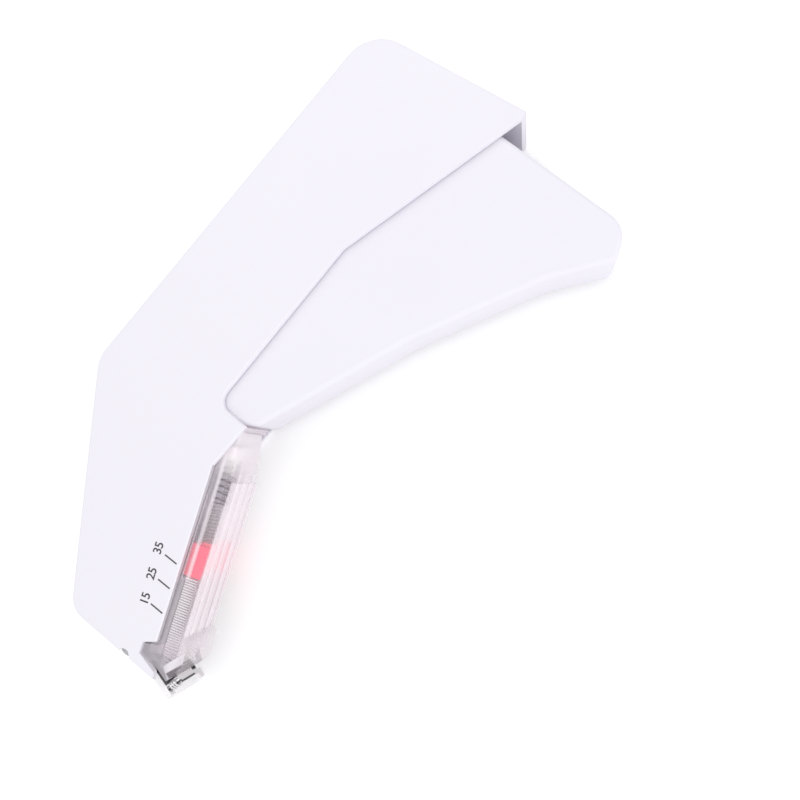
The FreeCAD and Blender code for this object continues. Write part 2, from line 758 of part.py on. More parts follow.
near_shell()
far_shell()
trigger()
drive_lever()
pivot_pin()
slide_pins()
lever_pins()
drive_pin()
drive_roller()
ram_carrier()
ram_blade()
ram_rivets()
front_staple()
staple_stack()
magazine_body()
magazine_cover()
staple_rail()
follower()
follower_spring()
spring_stop()
return_spring()
nose_guide()
nose_lip()
anvil()
ejector_spring()
doc.recompute()

# Every feature has to have built before any file is written

pieces = [item for item in doc.Objects if item.TypeId in ("PartDesign::Body", "Part::Feature")]
for item in doc.Objects:
    if "Invalid" in item.State or "Error" in item.State:
        raise RuntimeError(f"{item.Label} did not build")
for piece in pieces:
    if piece.Shape.isNull() or not piece.Shape.isValid():
        raise RuntimeError(f"{piece.Label} has no valid shape")

os.makedirs("parts", exist_ok=True)
for piece in pieces:
    piece.Shape.exportStep(f"parts/{piece.Label}.step")
    print(piece.Label, len(piece.Shape.Solids), "solids", round(piece.Shape.Volume, 1), "mm3")
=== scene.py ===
import math

import bmesh
import bpy
from mathutils import Matrix, Vector


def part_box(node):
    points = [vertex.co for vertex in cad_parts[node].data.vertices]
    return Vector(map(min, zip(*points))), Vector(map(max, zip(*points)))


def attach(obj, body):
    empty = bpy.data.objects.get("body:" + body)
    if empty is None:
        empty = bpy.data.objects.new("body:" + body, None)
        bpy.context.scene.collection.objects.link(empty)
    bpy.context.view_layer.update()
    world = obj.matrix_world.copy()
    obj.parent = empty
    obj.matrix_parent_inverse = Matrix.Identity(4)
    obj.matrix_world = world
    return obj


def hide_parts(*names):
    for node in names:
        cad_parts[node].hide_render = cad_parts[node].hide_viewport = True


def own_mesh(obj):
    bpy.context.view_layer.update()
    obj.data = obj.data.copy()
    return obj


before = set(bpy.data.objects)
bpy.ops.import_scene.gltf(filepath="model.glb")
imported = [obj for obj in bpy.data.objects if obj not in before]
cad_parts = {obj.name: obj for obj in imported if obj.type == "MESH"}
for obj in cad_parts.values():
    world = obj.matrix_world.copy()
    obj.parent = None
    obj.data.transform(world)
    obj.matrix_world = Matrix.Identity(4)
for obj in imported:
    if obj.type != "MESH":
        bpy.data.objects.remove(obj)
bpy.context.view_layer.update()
scene = bpy.context.scene

# Camera: a hand-held view from above the stapler as it lies on its far side, turned a little
# towards the rear, with a moderately wide lens.

camera_place = (0.04985, -0.00865, 0.171)
view_right = Vector((0.9413, 0.2878, -0.1762))
view_up = Vector((-0.2727, 0.9563, 0.1049))
view_back = Vector((0.1987, -0.0507, 0.9787))
camera_data = bpy.data.cameras.new("camera")
camera_data.lens = 31.5
camera_data.sensor_width = 36.0
camera_data.clip_start = 0.005
camera = bpy.data.objects.new("camera", camera_data)
scene.collection.objects.link(camera)
turned = Matrix((view_right, view_up, view_back)).transposed().to_4x4()
camera.matrix_world = Matrix.Translation(camera_place) @ turned
scene.camera = camera

# Daylight room: an even white world and two large soft lamps. Camera, glossy and transmitted
# rays see plain white, so the background, the steel and the clear plastic show a white room. The
# low lamp stays out of gloss, so that pale plastic keeps its tone when seen at a low angle.

room_light, room_seen = 0.81, 1.0
lamp_side = 0.50
lamps = (
    ("lamp_over_rear", (-0.25, 0.35, 0.55), 0.90, True),
    ("lamp_beside_nose", (0.45, -0.30, 0.28), 1.2, False),
)


def ray_mask(nodes, links, *kinds):
    """1 for rays of any of these kinds, by their names in Light Path, and 0 for all others."""
    path = nodes.new("ShaderNodeLightPath")
    mask = path.outputs[kinds[0]]
    for kind in kinds[1:]:
        either = nodes.new("ShaderNodeMath")
        either.operation = "MAXIMUM"
        links.new(mask, either.inputs[0])
        links.new(path.outputs[kind], either.inputs[1])
        mask = either.outputs["Value"]
    return mask


scene.view_settings.view_transform = "Standard"
world = bpy.data.worlds.new("room")
world.use_nodes = True
scene.world = world
nodes, links = world.node_tree.nodes, world.node_tree.links
sky = nodes["Background"]
sky.inputs["Color"].default_value = (1.0, 1.0, 1.0, 1.0)
strength = nodes.new("ShaderNodeMapRange")
strength.inputs["To Min"].default_value = room_light
strength.inputs["To Max"].default_value = room_seen
links.new(ray_mask(nodes, links, "Is Camera Ray", "Is Transmission Ray", "Is Glossy Ray"),
          strength.inputs["Value"])
links.new(strength.outputs["Result"], sky.inputs["Strength"])

for name, place, watts, in_gloss in lamps:
    lamp_data = bpy.data.lights.new(name, "AREA")
    lamp_data.energy = watts
    lamp_data.size = lamp_side
    lamp = bpy.data.objects.new(name, lamp_data)
    lamp.location = place
    lamp.rotation_euler = (-Vector(place)).to_track_quat("-Z", "Y").to_euler()
    lamp.visible_glossy = in_gloss
    scene.collection.objects.link(lamp)

# Table top: a plain white sheet under the stapler. It glows faintly to the camera only, so that
# it meets the white room without a line and still takes the contact shadow.

table_radius = 1.6
table_glow = 0.24


def new_material(name):
    """An empty material, with the nodes and links of its tree."""
    material = bpy.data.materials.new(name)
    material.use_nodes = True
    return material, material.node_tree.nodes, material.node_tree.links


table_white, nodes, links = new_material("table_white")
skin = nodes["Principled BSDF"]
skin.inputs["Base Color"].default_value = (0.86, 0.86, 0.87, 1.0)
skin.inputs["Roughness"].default_value = 0.9
skin.inputs["Specular IOR Level"].default_value = 0.0
amount = nodes.new("ShaderNodeMath")
amount.operation = "MULTIPLY"
amount.inputs[1].default_value = table_glow
links.new(ray_mask(nodes, links, "Is Camera Ray", "Is Transmission Ray"), amount.inputs[0])
glow = nodes.new("ShaderNodeEmission")
links.new(amount.outputs["Value"], glow.inputs["Strength"])
both = nodes.new("ShaderNodeAddShader")
links.new(skin.outputs["BSDF"], both.inputs[0])
links.new(glow.outputs["Emission"], both.inputs[1])
links.new(both.outputs["Shader"], nodes["Material Output"].inputs["Surface"])

shape = bmesh.new()
bmesh.ops.create_circle(shape, cap_ends=True, segments=96, radius=table_radius)
floor_mesh = bpy.data.meshes.new("floor")
shape.to_mesh(floor_mesh)
shape.free()
floor_mesh.materials.append(table_white)
floor = bpy.data.objects.new("floor", floor_mesh)
scene.collection.objects.link(floor)

# Case: two injection-moulded shells of white medical plastic with a fine satin spark finish.
# They meet on the middle plane. The moulding shows a faint lavender cast and slight flow shade.

case_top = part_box("near_shell")[1][2]
middle_z = case_top / 2


def socket_in(group, name, kind, value=None):
    """Adds a named input to a node group."""
    item = group.interface.new_socket(name, in_out="INPUT", socket_type=kind)
    if value is not None:
        item.default_value = value


def spark_finish_group():
    """Fine pitted skin of a spark-eroded mould: a height, a shade mask and a roughness value."""
    group = bpy.data.node_groups.new("spark_finish", "ShaderNodeTree")
    socket_in(group, "Vector", "NodeSocketVector")
    socket_in(group, "Grain Scale", "NodeSocketFloat", 5200.0)
    socket_in(group, "Roughness Low", "NodeSocketFloat", 0.40)
    socket_in(group, "Roughness High", "NodeSocketFloat", 0.52)
    for name in ("Height", "Shade", "Roughness"):
        group.interface.new_socket(name, in_out="OUTPUT", socket_type="NodeSocketFloat")
    nodes, links = group.nodes, group.links
    given = nodes.new("NodeGroupInput")
    result = nodes.new("NodeGroupOutput")
    grain = nodes.new("ShaderNodeTexNoise")
    grain.inputs["Detail"].default_value = 3.0
    links.new(given.outputs["Vector"], grain.inputs["Vector"])
    links.new(given.outputs["Grain Scale"], grain.inputs["Scale"])
    flow = nodes.new("ShaderNodeTexNoise")
    flow.inputs["Scale"].default_value = 28.0
    flow.inputs["Detail"].default_value = 2.0
    links.new(given.outputs["Vector"], flow.inputs["Vector"])
    sheen = nodes.new("ShaderNodeMapRange")
    links.new(flow.outputs["Fac"], sheen.inputs["Value"])
    links.new(given.outputs["Roughness Low"], sheen.inputs["To Min"])
    links.new(given.outputs["Roughness High"], sheen.inputs["To Max"])
    links.new(grain.outputs["Fac"], result.inputs["Height"])
    links.new(flow.outputs["Fac"], result.inputs["Shade"])
    links.new(sheen.outputs["Result"], result.inputs["Roughness"])
    return group


spark_finish = spark_finish_group()


def two_shades(nodes, links, mask, first, second):
    """The output of a colour mix that goes from the first shade to the second with a mask."""
    shade = nodes.new("ShaderNodeMix")
    shade.data_type = "RGBA"
    shade.inputs["A"].default_value = (*first, 1.0)
    shade.inputs["B"].default_value = (*second, 1.0)
    links.new(mask, shade.inputs["Factor"])
    return shade.outputs["Result"]


def raise_skin(nodes, links, height, strength, depth):
    """Embosses a material's skin by a height mask."""
    bump = nodes.new("ShaderNodeBump")
    bump.inputs["Strength"].default_value = strength
    bump.inputs["Distance"].default_value = depth
    links.new(height, bump.inputs["Height"])
    links.new(bump.outputs["Normal"], nodes["Principled BSDF"].inputs["Normal"])


def moulded(name, light, dark, relief=0.05, grain=5200.0, rough=(0.40, 0.52)):
    """Opaque moulded plastic: two near shades that drift over the piece, and a satin skin."""
    material, nodes, links = new_material(name)
    skin = nodes["Principled BSDF"]
    skin.inputs["Specular IOR Level"].default_value = 0.4
    place = nodes.new("ShaderNodeTexCoord")
    finish = nodes.new("ShaderNodeGroup")
    finish.node_tree = spark_finish
    finish.inputs["Grain Scale"].default_value = grain
    finish.inputs["Roughness Low"].default_value = rough[0]
    finish.inputs["Roughness High"].default_value = rough[1]
    links.new(place.outputs["Object"], finish.inputs["Vector"])
    shade = two_shades(nodes, links, finish.outputs["Shade"], light, dark)
    links.new(shade, skin.inputs["Base Color"])
    links.new(finish.outputs["Roughness"], skin.inputs["Roughness"])
    raise_skin(nodes, links, finish.outputs["Height"], strength=relief, depth=0.0002)
    return material


def finish_node(node, material):
    """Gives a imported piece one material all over."""
    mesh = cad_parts[node].data
    mesh.materials.clear()
    mesh.materials.append(material)


def place_piece(name, mesh, material, body):
    """Puts a finished mesh in the scene with its material, on a body."""
    mesh.materials.clear()
    mesh.materials.append(material)
    piece = bpy.data.objects.new(name, mesh)
    scene.collection.objects.link(piece)
    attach(piece, body)
    return piece


def finished_piece(name, shape, material, body, smooth=False):
    """Turns a finished bmesh into a piece of the scene."""
    mesh = bpy.data.meshes.new(name)
    shape.to_mesh(mesh)
    shape.free()
    for face in mesh.polygons:
        face.use_smooth = smooth
    return place_piece(name, mesh, material, body)


case_white = moulded("case_white", (0.862, 0.842, 0.905), (0.842, 0.820, 0.892))
finish_node("near_shell", case_white)
finish_node("far_shell", case_white)

# Painted shade on the shells: the plate edge beside the magazine, which stands in the magazine's
# shade, is painted grey-lavender, and the little notch for the catch near the nose, a recess in shade, is
# painted dark grey.

edge_painted_shade = moulded("edge_painted_shade", (0.60, 0.565, 0.61), (0.57, 0.535, 0.58))
catch_painted_shade = moulded("catch_painted_shade", (0.52, 0.51, 0.53), (0.47, 0.46, 0.48))
edge_low, edge_high = Vector((-0.0205, -0.0696)), Vector((-0.0185, -0.0300))
catch_middle, catch_radius = Vector((-0.0265, -0.0753)), 0.00165
catch_low, catch_high = 0.0135, 0.0178
for node in ("near_shell", "far_shell"):
    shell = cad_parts[node]
    shell.data.materials.append(edge_painted_shade)
    shell.data.materials.append(catch_painted_shade)
    for face in shell.data.polygons:
        spot = shell.matrix_world @ face.center
        beside_x = edge_low.x < spot.x < edge_high.x
        beside_y = edge_low.y < spot.y < edge_high.y
        if face.normal.x > 0.9 and beside_x and beside_y:
            face.material_index = 1
        elif (spot.xy - catch_middle).length < catch_radius and catch_low < spot.z < catch_high:
            face.material_index = 2

# Catch plug: a short oval peg that shows in the notch of the lower edge, with a small round on its head.
# Its grey is the notch's painted shade, so the peg stands as a dark spot in the notch.

plug_half_length, plug_half_width, plug_height = 0.00135, 0.00052, 0.0034
plug_round = 0.00018
plug_turn = math.radians(-18.0)
plug_foot = (-0.02627, -0.07459, 0.0139)
shape = bmesh.new()
peg = bmesh.ops.create_circle(shape, cap_ends=True, segments=28, radius=1.0)["verts"]
bmesh.ops.scale(shape, verts=peg, vec=(plug_half_length, plug_half_width, 1.0))
risen = bmesh.ops.extrude_face_region(shape, geom=list(shape.faces))["geom"]
top = [part for part in risen if isinstance(part, bmesh.types.BMVert)]
bmesh.ops.translate(shape, verts=top, vec=(0, 0, plug_height))
rim = [edge for edge in shape.edges if all(vert in top for vert in edge.verts)]
bmesh.ops.bevel(shape, geom=rim, offset=plug_round, segments=3, profile=0.5, affect="EDGES",
                material=-1)
bmesh.ops.rotate(shape, verts=shape.verts, cent=(0, 0, 0), matrix=Matrix.Rotation(plug_turn, 3, "Z"))
bmesh.ops.translate(shape, verts=shape.verts, vec=plug_foot)
bmesh.ops.recalc_face_normals(shape, faces=shape.faces)
finished_piece("catch_plug", shape, catch_painted_shade, "case")

# Case corner: a curved strip of the shells' plastic inside the round rear corner. The shells'
# hollow runs out through the wall there, and the strip closes the corner between the plates.

corner_middle = Vector((-0.008955, 0.07143, middle_z))
corner_radius, corner_wall, corner_width = 0.00863, 0.00166, 0.0156
corner_start, corner_sweep = math.radians(94.4), math.radians(40.0)
shape = bmesh.new()
section = bmesh.ops.create_grid(shape, x_segments=1, y_segments=1, size=0.5)["verts"]
bmesh.ops.rotate(shape, verts=section, cent=(0, 0, 0), matrix=Matrix.Rotation(math.pi / 2, 3, "X"))
bmesh.ops.scale(shape, verts=section, vec=(corner_wall, 1.0, corner_width))
bmesh.ops.translate(shape, verts=section, vec=(corner_radius, 0, 0))
bmesh.ops.rotate(shape, verts=section, cent=(0, 0, 0), matrix=Matrix.Rotation(corner_start, 3, "Z"))
bmesh.ops.translate(shape, verts=section, vec=corner_middle)
bmesh.ops.spin(shape, geom=list(shape.faces), cent=corner_middle, axis=(0, 0, 1),
               angle=corner_sweep, steps=16)
bmesh.ops.recalc_face_normals(shape, faces=shape.faces)
finished_piece("case_corner", shape, case_white, "case")

# Trigger: one hollow moulding of the same white plastic, open towards the inside of the case. It
# turns on the pivot pin between the plates, and its skin is a little smoother.

trigger_white = moulded("trigger_white", (0.858, 0.840, 0.905), (0.838, 0.816, 0.890), 0.04)
finish_node("trigger", trigger_white)

# Drive train: the trigger's lever with its roller, the ram carrier, and the stop of the follower's
# spring. They are moulded in acetal, natural white and waxy, and the first three run inside the case.

acetal = moulded("acetal", (0.80, 0.80, 0.79), (0.74, 0.74, 0.73), 0.03, 3800.0, (0.30, 0.42))
for node in ("drive_lever", "drive_roller", "ram_carrier", "spring_stop"):
    finish_node(node, acetal)

# Steel pieces: the forming blade is cut from rolled strip with its grain along it, the pins and
# rivets are ground bar, and the small ejector coil is bright drawn wire.

line_dark = 0.82


def drawn_lines_group():
    """Fine lines that drawing, rolling or a mould leaves along a piece: a mask and a roughness."""
    group = bpy.data.node_groups.new("drawn_lines", "ShaderNodeTree")
    socket_in(group, "Vector", "NodeSocketVector")
    socket_in(group, "Line Scale", "NodeSocketVector", (5000.0, 5000.0, 5000.0))
    socket_in(group, "Detail", "NodeSocketFloat", 4.0)
    socket_in(group, "Roughness Low", "NodeSocketFloat", 0.20)
    socket_in(group, "Roughness High", "NodeSocketFloat", 0.30)
    for name in ("Lines", "Roughness"):
        group.interface.new_socket(name, in_out="OUTPUT", socket_type="NodeSocketFloat")
    nodes, links = group.nodes, group.links
    given = nodes.new("NodeGroupInput")
    result = nodes.new("NodeGroupOutput")
    along = nodes.new("ShaderNodeMapping")
    links.new(given.outputs["Vector"], along.inputs["Vector"])
    links.new(given.outputs["Line Scale"], along.inputs["Scale"])
    lines = nodes.new("ShaderNodeTexNoise")
    lines.inputs["Scale"].default_value = 1.0
    links.new(along.outputs["Vector"], lines.inputs["Vector"])
    links.new(given.outputs["Detail"], lines.inputs["Detail"])
    polish = nodes.new("ShaderNodeMapRange")
    links.new(lines.outputs["Fac"], polish.inputs["Value"])
    links.new(given.outputs["Roughness Low"], polish.inputs["To Min"])
    links.new(given.outputs["Roughness High"], polish.inputs["To Max"])
    links.new(lines.outputs["Fac"], result.inputs["Lines"])
    links.new(polish.outputs["Result"], result.inputs["Roughness"])
    return group


drawn_lines = drawn_lines_group()


def line_skin(nodes, links, line_scale, rough, relief, detail, depth):
    """Gives a material's skin its drawn lines in roughness and relief, and puts out their mask."""
    place = nodes.new("ShaderNodeTexCoord")
    lines = nodes.new("ShaderNodeGroup")
    lines.node_tree = drawn_lines
    lines.inputs["Line Scale"].default_value = line_scale
    lines.inputs["Detail"].default_value = detail
    lines.inputs["Roughness Low"].default_value = rough[0]
    lines.inputs["Roughness High"].default_value = rough[1]
    links.new(place.outputs["Object"], lines.inputs["Vector"])
    links.new(lines.outputs["Roughness"], nodes["Principled BSDF"].inputs["Roughness"])
    raise_skin(nodes, links, lines.outputs["Lines"], relief, depth)
    return lines.outputs["Lines"]


def steel(name, colour, line_scale, rough, relief):
    """Bare steel whose fine lines run along one axis, with a slow change of brightness."""
    material, nodes, links = new_material(name)
    skin = nodes["Principled BSDF"]
    skin.inputs["Metallic"].default_value = 1.0
    lines = line_skin(nodes, links, line_scale, rough, relief, detail=4.0, depth=0.0001)
    dark = [part * line_dark for part in colour]
    links.new(two_shades(nodes, links, lines, colour, dark), skin.inputs["Base Color"])
    return material


strip_steel = steel("strip_steel", (0.86, 0.85, 0.86), (9000.0, 400.0, 9000.0), (0.22, 0.36), 0.06)
pin_steel = steel("pin_steel", (0.80, 0.80, 0.81), (3000.0, 3000.0, 300.0), (0.18, 0.28), 0.03)
bright_spring = steel("bright_spring", (0.90, 0.89, 0.91), (5000.0, 5000.0, 5000.0), (0.15, 0.25),
                      0.02)
finish_node("ram_blade", strip_steel)
for node in ("pivot_pin", "slide_pins", "lever_pins", "drive_pin", "ram_rivets"):
    finish_node(node, pin_steel)
finish_node("ejector_spring", bright_spring)

# Anvil: a small plate of polished steel, cut from strip and held in the nose. The ram closes each
# staple round its tongue, the brightest part. The edges beside the tongue and the root get painted
# shade, near black, as they lie in the shaded slot.

# The ram's way down the nose, and the middle of the front staple's crown.
ram_lean = math.radians(33.0)
ram_path = Vector((math.cos(ram_lean), -math.sin(ram_lean), 0.0))
ram_rise = Vector((math.sin(ram_lean), math.cos(ram_lean), 0.0))
crown = Vector((-0.0183, -0.0752, middle_z))
# Places on the plate, measured from that crown along the ram's way and square to it.
tongue_start, tongue_end, corner_reach, root_rise = 0.00425, 0.00582, 0.0049, -0.0004
edge_blur = 0.0001


def beyond(nodes, links, direction, start, end, origin=(0.0, 0.0, 0.0), within=None):
    """A mask: 0 before start and 1 after end, both measured from the origin along a direction.
    Within is another mask that this one stays inside. It is no node group, as it may mix shaders."""
    place = nodes.new("ShaderNodeTexCoord")
    lifted = nodes.new("ShaderNodeVectorMath")
    lifted.operation = "SUBTRACT"
    lifted.inputs[1].default_value = origin
    links.new(place.outputs["Object"], lifted.inputs[0])
    reach = nodes.new("ShaderNodeVectorMath")
    reach.operation = "DOT_PRODUCT"
    reach.inputs[1].default_value = direction
    links.new(lifted.outputs["Vector"], reach.inputs[0])
    mask = nodes.new("ShaderNodeMapRange")
    mask.inputs["From Min"].default_value = start
    mask.inputs["From Max"].default_value = end
    links.new(reach.outputs["Value"], mask.inputs["Value"])
    if within:
        links.new(within, mask.inputs["To Max"])
    return mask.outputs["Result"]


def anvil_steel_painted_shade():
    """Anvil plate: polished tongue and bright front corners; painted shade on the edges beside it and on
    the root.
    """
    material = steel("anvil_steel_painted_shade", (1.0, 1.0, 1.0), (6000.0, 6000.0, 500.0), (0.16, 0.30), 0.05)
    nodes, links = material.node_tree.nodes, material.node_tree.links
    origin = (crown.x, crown.y, 0.0)
    tongue = beyond(nodes, links, ram_path, tongue_start - edge_blur, tongue_start + edge_blur, origin)
    tongue = beyond(nodes, links, ram_path, tongue_end + edge_blur, tongue_end - edge_blur, origin, tongue)
    pick = nodes.new("ShaderNodeMix")
    above_root = beyond(nodes, links, ram_rise, root_rise - edge_blur, root_rise + edge_blur, origin)
    links.new(above_root, pick.inputs["Factor"])
    corners = beyond(nodes, links, ram_path, corner_reach - edge_blur, corner_reach + edge_blur, origin)
    links.new(corners, pick.inputs["A"])
    links.new(tongue, pick.inputs["B"])
    # Painted shade: near black on the root and beside the tongue, the steel's own tone on tongue and front
    # corners.
    tone = two_shades(nodes, links, pick.outputs["Result"], (0.10, 0.095, 0.10), (0.98, 0.96, 0.97))
    links.new(tone, nodes["Principled BSDF"].inputs["Base Color"])
    return material


finish_node("anvil", anvil_steel_painted_shade())

# Staples: drawn stainless wire bent to a wide U, with the crown across the magazine and the two
# legs towards the open side. The last few lean over, one more than the next, into the nose. The
# upright ones stand a little further back and show longer legs.

staple_wire = 0.00055
staple_crown = 0.0128
staple_leg = 0.00315
staple_bend = 0.00042
staple_pitch = 0.0006
staple_count = 35
fan_count = 7
upright_setback = 0.0004
wire_steel = steel("wire_steel", (0.96, 0.95, 0.97), (7000.0, 7000.0, 900.0), (0.14, 0.24), 0.02)


def add_staple(shape, rise, lean):
    """Sweeps a round wire section along one leg, round a bend, along the crown and back."""
    others = set(shape.verts)
    half = staple_crown / 2 - staple_wire / 2
    setback = upright_setback * (1 - lean / ram_lean)
    leg = staple_leg + setback
    ring = bmesh.ops.create_circle(shape, cap_ends=True, segments=10,
                                   radius=staple_wire / 2)["verts"]
    bmesh.ops.rotate(shape, verts=ring, cent=(0, 0, 0), matrix=Matrix.Rotation(math.pi / 2, 3, "Y"))
    bmesh.ops.translate(shape, verts=ring, vec=(leg, 0, -half))

    def run(faces, step):
        grown = bmesh.ops.extrude_face_region(shape, geom=faces)["geom"]
        moved = [part for part in grown if isinstance(part, bmesh.types.BMVert)]
        bmesh.ops.translate(shape, verts=moved, vec=step)
        return [part for part in grown if isinstance(part, bmesh.types.BMFace)]

    def bend(faces, centre):
        spun = bmesh.ops.spin(shape, geom=faces, cent=centre, axis=(0, 1, 0),
                              angle=math.pi / 2, steps=5, use_duplicate=False)["geom_last"]
        return [part for part in spun if isinstance(part, bmesh.types.BMFace)]

    tip = run(list(ring[0].link_faces), (staple_bend - leg, 0, 0))
    tip = bend(tip, (staple_bend, 0, staple_bend - half))
    tip = run(tip, (0, 0, 2 * (half - staple_bend)))
    tip = bend(tip, (staple_bend, 0, half - staple_bend))
    run(tip, (leg - staple_bend, 0, 0))
    wire = [vert for vert in shape.verts if vert not in others]
    bmesh.ops.rotate(shape, verts=wire, cent=(0, 0, 0), matrix=Matrix.Rotation(-lean, 3, "Z"))
    bmesh.ops.translate(shape, verts=wire, vec=(crown.x - setback, crown.y + rise, crown.z))


def staple_row():
    """Rise and lean of each staple from the one in front of the ram upwards."""
    rise, last = 0.0, ram_lean
    for index in range(staple_count):
        lean = ram_lean * max(0.0, 1 - index / fan_count)
        if index:
            rise += staple_pitch / math.cos((lean + last) / 2)
        last = lean
        yield rise, lean


staples = list(staple_row())
shape = bmesh.new()
add_staple(shape, *staples[0])
bmesh.ops.recalc_face_normals(shape, faces=shape.faces)
first = finished_piece("first_staple_wire", shape, wire_steel, "ram_body", smooth=True)
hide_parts("front_staple")
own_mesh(first)

shape = bmesh.new()
for rise, lean in staples[1:]:
    add_staple(shape, rise, lean)
bmesh.ops.recalc_face_normals(shape, faces=shape.faces)
stack = finished_piece("staple_stack_wires", shape, wire_steel, "case", smooth=True)
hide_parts("staple_stack")

# Clear pieces: magazine channel, ribbed cover, staple rail, nose guide and lip, moulded in clear
# plastic with a faint pink cast. Draw lines from the mould run along the magazine.

# Several thin walls stand behind each other, so a ray may pass more of them than by default.
scene.cycles.transparent_max_bounces = 32
across, upward, outward = (1.0, 0.0, 0.0), (0.0, 1.0, 0.0), (0.0, 0.0, 1.0)
# The first colour is the moulding's own tint; the grey is painted shade for shaded zones.
clear_white, clear_painted_shade = (1.0, 0.935, 0.975), (0.60, 0.555, 0.60)
milk_blend = 0.35
clear_rough = (0.05, 0.22)


def clear_plastic(name, tint, body, least, most, line_scale, relief=0.08, zones=()):
    """Thin clear moulding: it lets sight and lamps through and turns milky at a low angle.
    Each zone is a frosted part of the moulding, or a part with painted shade or a painted highlight: its
    limits, how milky it is and its colour. A limit is a direction and the two reaches along it between
    which the zone sets in."""
    material, nodes, links = new_material(name)
    skin = nodes["Principled BSDF"]
    skin.inputs["Base Color"].default_value = (*body, 1.0)
    skin.inputs["Specular IOR Level"].default_value = 0.5
    line_skin(nodes, links, line_scale, clear_rough, relief, detail=2.0, depth=0.0002)
    slant = nodes.new("ShaderNodeLayerWeight")
    slant.inputs["Blend"].default_value = milk_blend
    milk = nodes.new("ShaderNodeMapRange")
    milk.inputs["To Min"].default_value = least
    milk.inputs["To Max"].default_value = most
    links.new(slant.outputs["Facing"], milk.inputs["Value"])
    milk_now, colour_now = milk.outputs["Result"], None
    for limits, amount, shade in zones:
        inside = None
        for limit in limits:
            inside = beyond(nodes, links, *limit, within=inside)
        blend = nodes.new("ShaderNodeMix")
        blend.inputs["B"].default_value = amount
        links.new(inside, blend.inputs["Factor"])
        links.new(milk_now, blend.inputs["A"])
        milk_now = blend.outputs["Result"]
        dyed = two_shades(nodes, links, inside, body, shade)
        if colour_now:
            links.new(colour_now, dyed.node.inputs["A"])
        colour_now = dyed
    if colour_now:
        links.new(colour_now, skin.inputs["Base Color"])
    open_way = nodes.new("ShaderNodeBsdfTransparent")
    open_way.inputs["Color"].default_value = (*tint, 1.0)
    seen = nodes.new("ShaderNodeMixShader")
    links.new(milk_now, seen.inputs["Fac"])
    links.new(open_way.outputs["BSDF"], seen.inputs[1])
    links.new(skin.outputs["BSDF"], seen.inputs[2])
    whole = nodes.new("ShaderNodeMixShader")
    links.new(ray_mask(nodes, links, "Is Shadow Ray", "Is Diffuse Ray"), whole.inputs["Fac"])
    links.new(seen.outputs["Shader"], whole.inputs[1])
    links.new(open_way.outputs["BSDF"], whole.inputs[2])
    links.new(whole.outputs["Shader"], nodes["Material Output"].inputs["Surface"])
    return material


# A pale stripe over the follower, made milkier, is a painted highlight of a moulded rib.
rib_painted_highlight = (((across, -0.0181, -0.0180), (across, -0.0172, -0.0173),
                  (upward, -0.0546, -0.0545)), 0.42, clear_white)
frosted_top = (((upward, -0.030, -0.020),), 0.88, clear_white)
# At the back of the magazine, where the gap between the plate and the staple stack lies in shade, the grey
# is painted shade.
back_below_follower = (((across, -0.0182, -0.0184), (upward, -0.0540, -0.0546)), 0.62, clear_painted_shade)
back_above_stack = (((across, -0.0184, -0.0194), (upward, -0.0546, -0.0540)), 0.45, clear_painted_shade)
clear_magazine = clear_plastic(
    "clear_magazine", (0.998, 0.990, 0.995), clear_white, 0.04, 0.32, (900.0, 40.0, 900.0),
    zones=(rib_painted_highlight, frosted_top, back_below_follower, back_above_stack))
finish_node("magazine_body", clear_magazine)

clear_cover = clear_plastic("clear_cover", (0.998, 0.985, 0.993), (1.0, 0.925, 0.975),
                            0.30, 0.65, (1400.0, 30.0, 1400.0), relief=0.15)
finish_node("magazine_cover", clear_cover)

clear_rail = clear_plastic("clear_rail", (0.996, 0.99, 0.994), (1.0, 0.96, 0.98),
                           0.10, 0.40, (900.0, 40.0, 900.0))
finish_node("staple_rail", clear_rail)

# Nose cheek zones: a pale band, a slot painted near black as the shade of the gap where each staple
# leaves, a lighter low corner and a darker grey arm on the left.
near_cheek = (outward, 0.0155, 0.0160)
band_slope, slot_slope, arm_slope = (0.749, -0.662, 0.0), (0.707, -0.707, 0.0), (0.818, 0.575, 0.0)
pale_band = ((near_cheek, (band_slope, 0.0368, 0.0372), (ram_rise, -0.0638, -0.0650)), 0.62,
             (0.90, 0.85, 0.92))
painted_shade_slot = ((near_cheek, (slot_slope, 0.0426, 0.0428), (ram_rise, -0.0660, -0.0664)), 0.85,
             (0.20, 0.17, 0.19))
low_corner = ((near_cheek, (ram_rise, -0.0714, -0.0716)), 0.55, (0.86, 0.82, 0.90))
left_arm = (((arm_slope, -0.0557, -0.0560),), 0.55, (0.47, 0.44, 0.48))
clear_nose = clear_plastic(
    "clear_nose", (0.995, 0.985, 0.993), clear_white, 0.05, 0.30, (300.0, 300.0, 300.0),
    zones=(pale_band, painted_shade_slot, low_corner, left_arm))
finish_node("nose_guide", clear_nose)

clear_lip = clear_plastic("clear_lip", (0.99, 0.985, 0.992), (0.98, 0.96, 0.99),
                          0.08, 0.42, (300.0, 300.0, 300.0))
finish_node("nose_lip", clear_lip)

# Magazine tab: a short hollow cap of the cover's clear plastic on top of the magazine, which fills
# the gap under the trigger's heel. Its front is open and its edges have a small round.

